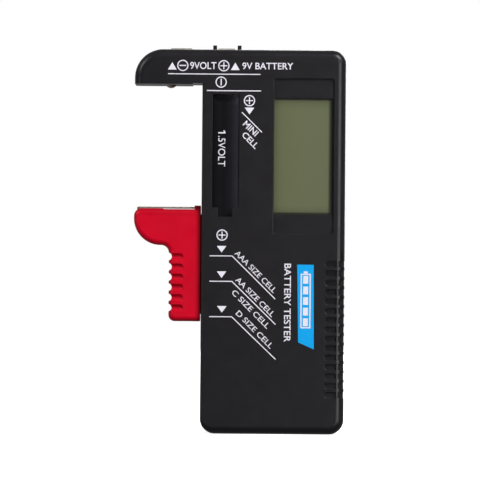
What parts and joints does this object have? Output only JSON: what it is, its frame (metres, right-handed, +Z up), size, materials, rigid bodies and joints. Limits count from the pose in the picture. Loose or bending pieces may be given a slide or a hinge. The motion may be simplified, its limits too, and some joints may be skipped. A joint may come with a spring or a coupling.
{
  "type": "battery tester",
  "caption": "Hand-held battery tester: flat case with a display, an overhanging arm, a sprung side slide that clamps cells, a button-cell trough and top contacts.",
  "frame": {"origin": "middle of the overall box's footprint, at the case's base, with the slide at its upper rest", "axes": "+Z up along the case towards the nine-volt contacts, +Y out of the back (the display faces -Y), +X to the right when facing the display, away from the slide"},
  "size_m": [0.0594, 0.024, 0.1094],
  "materials": {
    "case_black": "fine texture",
    "inner_black": "satin",
    "slide_red": "satin",
    "contact_metal": "brushed",
    "screw_metal": "plated",
    "spring_metal": "polished",
    "display_film": "satin",
    "display_glass": "clear",
    "display_mirror": "satin",
    "zebra_rubber": "matte",
    "board_green": "satin",
    "epoxy_black": "glossy",
    "chip_black": "matte",
    "chip_tan": "matte",
    "ferrite": "matte",
    "lead_black": "satin",
    "lead_red": "satin",
    "lead_white": "satin"
  },
  "bodies": {
    "case": {"front_housing": "case_black", "rear_housing": "case_black", "case_screws": "screw_metal", "display_polarizer": "display_film", "display_front_glass": "display_glass", "display_rear_glass": "display_glass", "display_reflector": "display_mirror", "display_holder": "inner_black", "zebra_connector": "zebra_rubber", "circuit_board": "board_green", "board_screws": "screw_metal", "chip_blob": "epoxy_black", "chip_resistors": "chip_black", "chip_capacitors": "chip_tan", "boost_inductor": "ferrite", "nine_volt_positive_contact": "contact_metal", "nine_volt_negative_contact": "contact_metal", "cell_negative_contact": "contact_metal", "button_cell_negative_contact": "contact_metal", "spring_terminal": "contact_metal", "return_spring": "spring_metal", "cell_negative_lead": "lead_black", "nine_volt_negative_lead": "lead_black", "nine_volt_positive_lead": "lead_red", "spring_lead": "lead_red", "button_cell_lead": "lead_white"},
    "slider": {"slider_grip": "slide_red", "slide_contact": "contact_metal", "button_cell_slide": "inner_black", "button_cell_positive_contact": "contact_metal", "slide_screws": "screw_metal"}
  },
  "joints": [
    {"name": "jaw_slide", "type": "slide", "parent": "case", "child": "slider", "axis": [0, 0, 1], "range_m": [-0.0305, 0], "stiffness_N_per_m": 50, "springref_m": 0.008, "deforming": ["return_spring"]}
  ]
}
